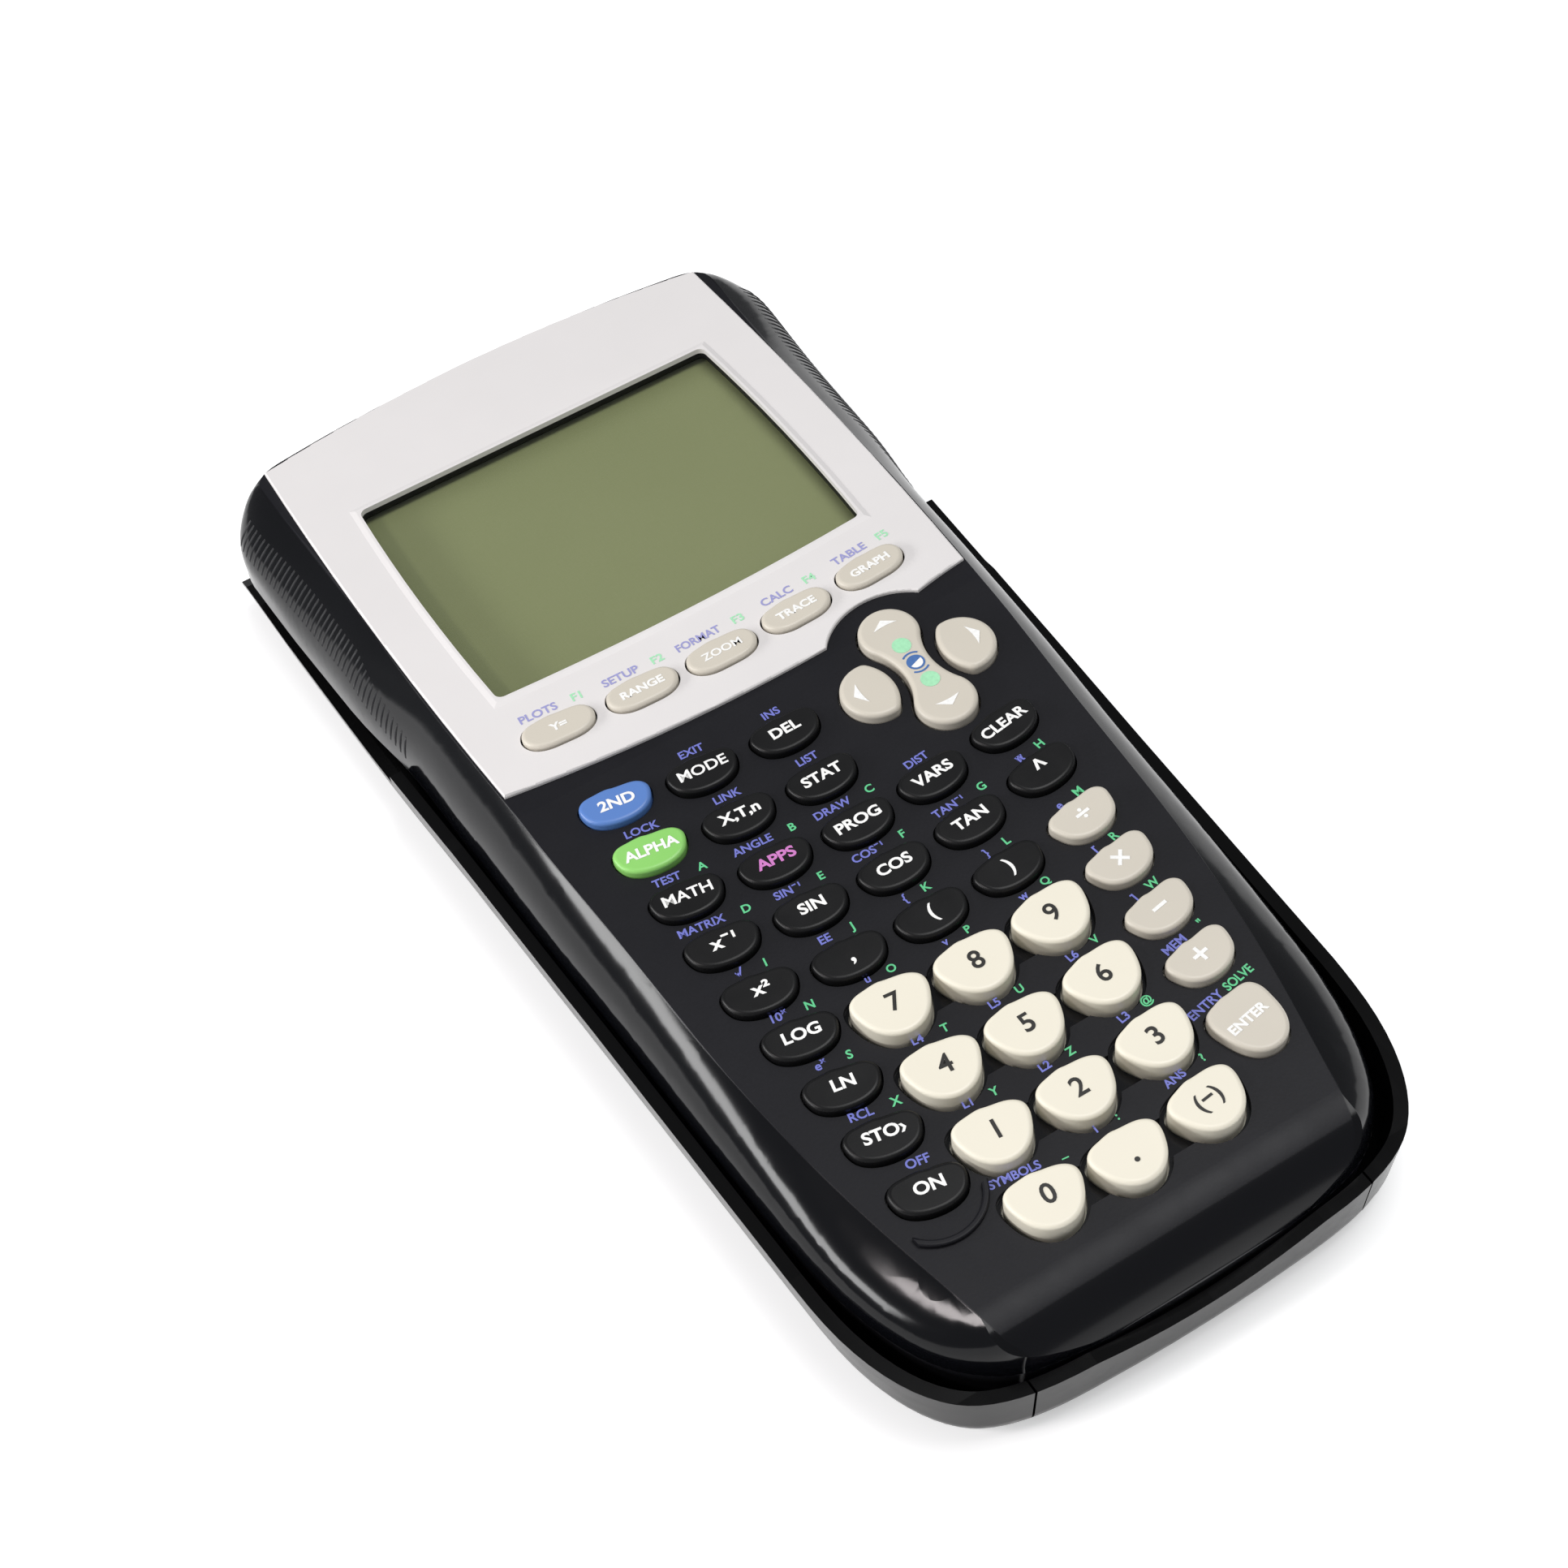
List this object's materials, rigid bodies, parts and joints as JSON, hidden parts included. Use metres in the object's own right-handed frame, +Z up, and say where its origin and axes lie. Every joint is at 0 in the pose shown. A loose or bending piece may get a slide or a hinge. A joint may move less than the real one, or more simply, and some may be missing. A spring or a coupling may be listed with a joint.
{
  "type": "graphing calculator",
  "caption": "Handheld graphing calculator: dark case with pale display surround, olive display, curved rows of coloured keys, arrow rocker and a hard slide cover stowed on the back.",
  "frame": {"origin": "centre of the footprint, on the surface the calculator lies on, under the stowed slide cover", "axes": "+Z up out of the keys and display, +Y towards the display end, +X to the reader's right"},
  "size_m": [0.094, 0.191, 0.026],
  "materials": {
    "case_black": "satin moulded plastic, gloss on the side panels",
    "cover_black": "glossy",
    "faceplate_grey": "satin",
    "lens_clear": "clear",
    "display_green": "matt polariser",
    "board_green": "solder mask",
    "membrane_rubber": "matt",
    "cell_metal": "satin",
    "screw_steel": "zinc plated",
    "key_dark": "satin",
    "key_ivory": "satin",
    "key_beige": "satin",
    "key_blue": "satin",
    "key_green": "satin"
  },
  "bodies": {
    "calculator": {"front_case": "case_black", "rear_case": "case_black", "faceplate": "faceplate_grey", "window_lens": "lens_clear", "lcd_module": "display_green", "main_board": "board_green", "keypad_membrane": "membrane_rubber", "battery_door": "case_black", "batteries": "cell_metal", "case_screws": "screw_steel"},
    "slide_cover": {"slide_cover": "cover_black"},
    "arrow_rocker": {"arrow_rocker": "key_beige"},
    "key_plot": {"key_plot": "key_beige"},
    "key_range": {"key_range": "key_beige"},
    "key_zoom": {"key_zoom": "key_beige"},
    "key_trace": {"key_trace": "key_beige"},
    "key_graph": {"key_graph": "key_beige"},
    "key_second": {"key_second": "key_blue"},
    "key_mode": {"key_mode": "key_dark"},
    "key_delete": {"key_delete": "key_dark"},
    "key_alpha": {"key_alpha": "key_green"},
    "key_variable": {"key_variable": "key_dark"},
    "key_stat": {"key_stat": "key_dark"},
    "key_math": {"key_math": "key_dark"},
    "key_apps": {"key_apps": "key_dark"},
    "key_program": {"key_program": "key_dark"},
    "key_vars": {"key_vars": "key_dark"},
    "key_clear": {"key_clear": "key_dark"},
    "key_reciprocal": {"key_reciprocal": "key_dark"},
    "key_sin": {"key_sin": "key_dark"},
    "key_cos": {"key_cos": "key_dark"},
    "key_tan": {"key_tan": "key_dark"},
    "key_power": {"key_power": "key_dark"},
    "key_square": {"key_square": "key_dark"},
    "key_comma": {"key_comma": "key_dark"},
    "key_paren_open": {"key_paren_open": "key_dark"},
    "key_paren_close": {"key_paren_close": "key_dark"},
    "key_divide": {"key_divide": "key_beige"},
    "key_log": {"key_log": "key_dark"},
    "key_7": {"key_7": "key_ivory"},
    "key_8": {"key_8": "key_ivory"},
    "key_9": {"key_9": "key_ivory"},
    "key_multiply": {"key_multiply": "key_beige"},
    "key_ln": {"key_ln": "key_dark"},
    "key_4": {"key_4": "key_ivory"},
    "key_5": {"key_5": "key_ivory"},
    "key_6": {"key_6": "key_ivory"},
    "key_minus": {"key_minus": "key_beige"},
    "key_store": {"key_store": "key_dark"},
    "key_1": {"key_1": "key_ivory"},
    "key_2": {"key_2": "key_ivory"},
    "key_3": {"key_3": "key_ivory"},
    "key_plus": {"key_plus": "key_beige"},
    "key_on": {"key_on": "key_dark"},
    "key_0": {"key_0": "key_ivory"},
    "key_point": {"key_point": "key_ivory"},
    "key_negate": {"key_negate": "key_ivory"},
    "key_enter": {"key_enter": "key_beige"},
    "key_left": {"key_left": "key_beige"},
    "key_right": {"key_right": "key_beige"}
  },
  "joints": [
    {"name": "cover_slide", "type": "slide", "parent": "calculator", "child": "slide_cover", "axis": [0, -1, 0], "range_m": [0, 0.19]},
    {"name": "arrow_rocker_tip", "type": "hinge", "parent": "calculator", "child": "arrow_rocker", "pos_m": [0.0204, -0.00114, 0.02282], "axis": [1, 0, 0], "range_deg": [-4, 4], "stiffness_Nm_per_rad": 0.06},
    {"name": "key_plot_press", "type": "slide", "parent": "calculator", "child": "key_plot", "axis": [0, 0, -1], "range_m": [0, 0.001], "stiffness_N_per_m": 500, "springref_m": -0.0004},
    {"name": "key_range_press", "type": "slide", "parent": "calculator", "child": "key_range", "axis": [0, 0, -1], "range_m": [0, 0.001], "stiffness_N_per_m": 500, "springref_m": -0.0004},
    {"name": "key_zoom_press", "type": "slide", "parent": "calculator", "child": "key_zoom", "axis": [0, 0, -1], "range_m": [0, 0.001], "stiffness_N_per_m": 500, "springref_m": -0.0004},
    {"name": "key_trace_press", "type": "slide", "parent": "calculator", "child": "key_trace", "axis": [0, 0, -1], "range_m": [0, 0.001], "stiffness_N_per_m": 500, "springref_m": -0.0004},
    {"name": "key_graph_press", "type": "slide", "parent": "calculator", "child": "key_graph", "axis": [0, 0, -1], "range_m": [0, 0.001], "stiffness_N_per_m": 500, "springref_m": -0.0004},
    {"name": "key_second_press", "type": "slide", "parent": "calculator", "child": "key_second", "axis": [0, 0.0523, -0.9986], "range_m": [0, 0.001], "stiffness_N_per_m": 500, "springref_m": -0.0004},
    {"name": "key_mode_press", "type": "slide", "parent": "calculator", "child": "key_mode", "axis": [0, 0.0523, -0.9986], "range_m": [0, 0.001], "stiffness_N_per_m": 500, "springref_m": -0.0004},
    {"name": "key_delete_press", "type": "slide", "parent": "calculator", "child": "key_delete", "axis": [0, 0.0523, -0.9986], "range_m": [0, 0.001], "stiffness_N_per_m": 500, "springref_m": -0.0004},
    {"name": "key_alpha_press", "type": "slide", "parent": "calculator", "child": "key_alpha", "axis": [0, 0.0523, -0.9986], "range_m": [0, 0.001], "stiffness_N_per_m": 500, "springref_m": -0.0004},
    {"name": "key_variable_press", "type": "slide", "parent": "calculator", "child": "key_variable", "axis": [0, 0.0523, -0.9986], "range_m": [0, 0.001], "stiffness_N_per_m": 500, "springref_m": -0.0004},
    {"name": "key_stat_press", "type": "slide", "parent": "calculator", "child": "key_stat", "axis": [0, 0.0523, -0.9986], "range_m": [0, 0.001], "stiffness_N_per_m": 500, "springref_m": -0.0004},
    {"name": "key_math_press", "type": "slide", "parent": "calculator", "child": "key_math", "axis": [0, 0.0523, -0.9986], "range_m": [0, 0.001], "stiffness_N_per_m": 500, "springref_m": -0.0004},
    {"name": "key_apps_press", "type": "slide", "parent": "calculator", "child": "key_apps", "axis": [0, 0.0523, -0.9986], "range_m": [0, 0.001], "stiffness_N_per_m": 500, "springref_m": -0.0004},
    {"name": "key_program_press", "type": "slide", "parent": "calculator", "child": "key_program", "axis": [0, 0.0523, -0.9986], "range_m": [0, 0.001], "stiffness_N_per_m": 500, "springref_m": -0.0004},
    {"name": "key_vars_press", "type": "slide", "parent": "calculator", "child": "key_vars", "axis": [0, 0.0523, -0.9986], "range_m": [0, 0.001], "stiffness_N_per_m": 500, "springref_m": -0.0004},
    {"name": "key_clear_press", "type": "slide", "parent": "calculator", "child": "key_clear", "axis": [0, 0.0523, -0.9986], "range_m": [0, 0.001], "stiffness_N_per_m": 500, "springref_m": -0.0004},
    {"name": "key_reciprocal_press", "type": "slide", "parent": "calculator", "child": "key_reciprocal", "axis": [0, 0.0523, -0.9986], "range_m": [0, 0.001], "stiffness_N_per_m": 500, "springref_m": -0.0004},
    {"name": "key_sin_press", "type": "slide", "parent": "calculator", "child": "key_sin", "axis": [0, 0.0523, -0.9986], "range_m": [0, 0.001], "stiffness_N_per_m": 500, "springref_m": -0.0004},
    {"name": "key_cos_press", "type": "slide", "parent": "calculator", "child": "key_cos", "axis": [0, 0.0523, -0.9986], "range_m": [0, 0.001], "stiffness_N_per_m": 500, "springref_m": -0.0004},
    {"name": "key_tan_press", "type": "slide", "parent": "calculator", "child": "key_tan", "axis": [0, 0.0523, -0.9986], "range_m": [0, 0.001], "stiffness_N_per_m": 500, "springref_m": -0.0004},
    {"name": "key_power_press", "type": "slide", "parent": "calculator", "child": "key_power", "axis": [0, 0.0523, -0.9986], "range_m": [0, 0.001], "stiffness_N_per_m": 500, "springref_m": -0.0004},
    {"name": "key_square_press", "type": "slide", "parent": "calculator", "child": "key_square", "axis": [0, 0.0523, -0.9986], "range_m": [0, 0.001], "stiffness_N_per_m": 500, "springref_m": -0.0004},
    {"name": "key_comma_press", "type": "slide", "parent": "calculator", "child": "key_comma", "axis": [0, 0.0523, -0.9986], "range_m": [0, 0.001], "stiffness_N_per_m": 500, "springref_m": -0.0004},
    {"name": "key_paren_open_press", "type": "slide", "parent": "calculator", "child": "key_paren_open", "axis": [0, 0.0523, -0.9986], "range_m": [0, 0.001], "stiffness_N_per_m": 500, "springref_m": -0.0004},
    {"name": "key_paren_close_press", "type": "slide", "parent": "calculator", "child": "key_paren_close", "axis": [0, 0.0523, -0.9986], "range_m": [0, 0.001], "stiffness_N_per_m": 500, "springref_m": -0.0004},
    {"name": "key_divide_press", "type": "slide", "parent": "calculator", "child": "key_divide", "axis": [0, 0.0523, -0.9986], "range_m": [0, 0.001], "stiffness_N_per_m": 500, "springref_m": -0.0004},
    {"name": "key_log_press", "type": "slide", "parent": "calculator", "child": "key_log", "axis": [0, 0.0523, -0.9986], "range_m": [0, 0.001], "stiffness_N_per_m": 500, "springref_m": -0.0004},
    {"name": "key_7_press", "type": "slide", "parent": "calculator", "child": "key_7", "axis": [0, 0.0523, -0.9986], "range_m": [0, 0.001], "stiffness_N_per_m": 500, "springref_m": -0.0004},
    {"name": "key_8_press", "type": "slide", "parent": "calculator", "child": "key_8", "axis": [0, 0.0523, -0.9986], "range_m": [0, 0.001], "stiffness_N_per_m": 500, "springref_m": -0.0004},
    {"name": "key_9_press", "type": "slide", "parent": "calculator", "child": "key_9", "axis": [0, 0.0523, -0.9986], "range_m": [0, 0.001], "stiffness_N_per_m": 500, "springref_m": -0.0004},
    {"name": "key_multiply_press", "type": "slide", "parent": "calculator", "child": "key_multiply", "axis": [0, 0.0523, -0.9986], "range_m": [0, 0.001], "stiffness_N_per_m": 500, "springref_m": -0.0004},
    {"name": "key_ln_press", "type": "slide", "parent": "calculator", "child": "key_ln", "axis": [0, 0.0523, -0.9986], "range_m": [0, 0.001], "stiffness_N_per_m": 500, "springref_m": -0.0004},
    {"name": "key_4_press", "type": "slide", "parent": "calculator", "child": "key_4", "axis": [0, 0.0523, -0.9986], "range_m": [0, 0.001], "stiffness_N_per_m": 500, "springref_m": -0.0004},
    {"name": "key_5_press", "type": "slide", "parent": "calculator", "child": "key_5", "axis": [0, 0.0523, -0.9986], "range_m": [0, 0.001], "stiffness_N_per_m": 500, "springref_m": -0.0004},
    {"name": "key_6_press", "type": "slide", "parent": "calculator", "child": "key_6", "axis": [0, 0.0523, -0.9986], "range_m": [0, 0.001], "stiffness_N_per_m": 500, "springref_m": -0.0004},
    {"name": "key_minus_press", "type": "slide", "parent": "calculator", "child": "key_minus", "axis": [0, 0.0523, -0.9986], "range_m": [0, 0.001], "stiffness_N_per_m": 500, "springref_m": -0.0004},
    {"name": "key_store_press", "type": "slide", "parent": "calculator", "child": "key_store", "axis": [0, 0.0523, -0.9986], "range_m": [0, 0.001], "stiffness_N_per_m": 500, "springref_m": -0.0004},
    {"name": "key_1_press", "type": "slide", "parent": "calculator", "child": "key_1", "axis": [0, 0.0523, -0.9986], "range_m": [0, 0.001], "stiffness_N_per_m": 500, "springref_m": -0.0004},
    {"name": "key_2_press", "type": "slide", "parent": "calculator", "child": "key_2", "axis": [0, 0.0523, -0.9986], "range_m": [0, 0.001], "stiffness_N_per_m": 500, "springref_m": -0.0004},
    {"name": "key_3_press", "type": "slide", "parent": "calculator", "child": "key_3", "axis": [0, 0.0523, -0.9986], "range_m": [0, 0.001], "stiffness_N_per_m": 500, "springref_m": -0.0004},
    {"name": "key_plus_press", "type": "slide", "parent": "calculator", "child": "key_plus", "axis": [0, 0.0523, -0.9986], "range_m": [0, 0.001], "stiffness_N_per_m": 500, "springref_m": -0.0004},
    {"name": "key_on_press", "type": "slide", "parent": "calculator", "child": "key_on", "axis": [0, 0.0523, -0.9986], "range_m": [0, 0.001], "stiffness_N_per_m": 500, "springref_m": -0.0004},
    {"name": "key_0_press", "type": "slide", "parent": "calculator", "child": "key_0", "axis": [0, 0.0523, -0.9986], "range_m": [0, 0.001], "stiffness_N_per_m": 500, "springref_m": -0.0004},
    {"name": "key_point_press", "type": "slide", "parent": "calculator", "child": "key_point", "axis": [0, 0.0523, -0.9986], "range_m": [0, 0.001], "stiffness_N_per_m": 500, "springref_m": -0.0004},
    {"name": "key_negate_press", "type": "slide", "parent": "calculator", "child": "key_negate", "axis": [0, 0.0523, -0.9986], "range_m": [0, 0.001], "stiffness_N_per_m": 500, "springref_m": -0.0004},
    {"name": "key_enter_press", "type": "slide", "parent": "calculator", "child": "key_enter", "axis": [0, 0.0523, -0.9986], "range_m": [0, 0.001], "stiffness_N_per_m": 500, "springref_m": -0.0004},
    {"name": "key_left_press", "type": "slide", "parent": "calculator", "child": "key_left", "axis": [0, 0.0523, -0.9986], "range_m": [0, 0.001], "stiffness_N_per_m": 500, "springref_m": -0.0004},
    {"name": "key_right_press", "type": "slide", "parent": "calculator", "child": "key_right", "axis": [0, 0.0523, -0.9986], "range_m": [0, 0.001], "stiffness_N_per_m": 500, "springref_m": -0.0004}
  ]
}
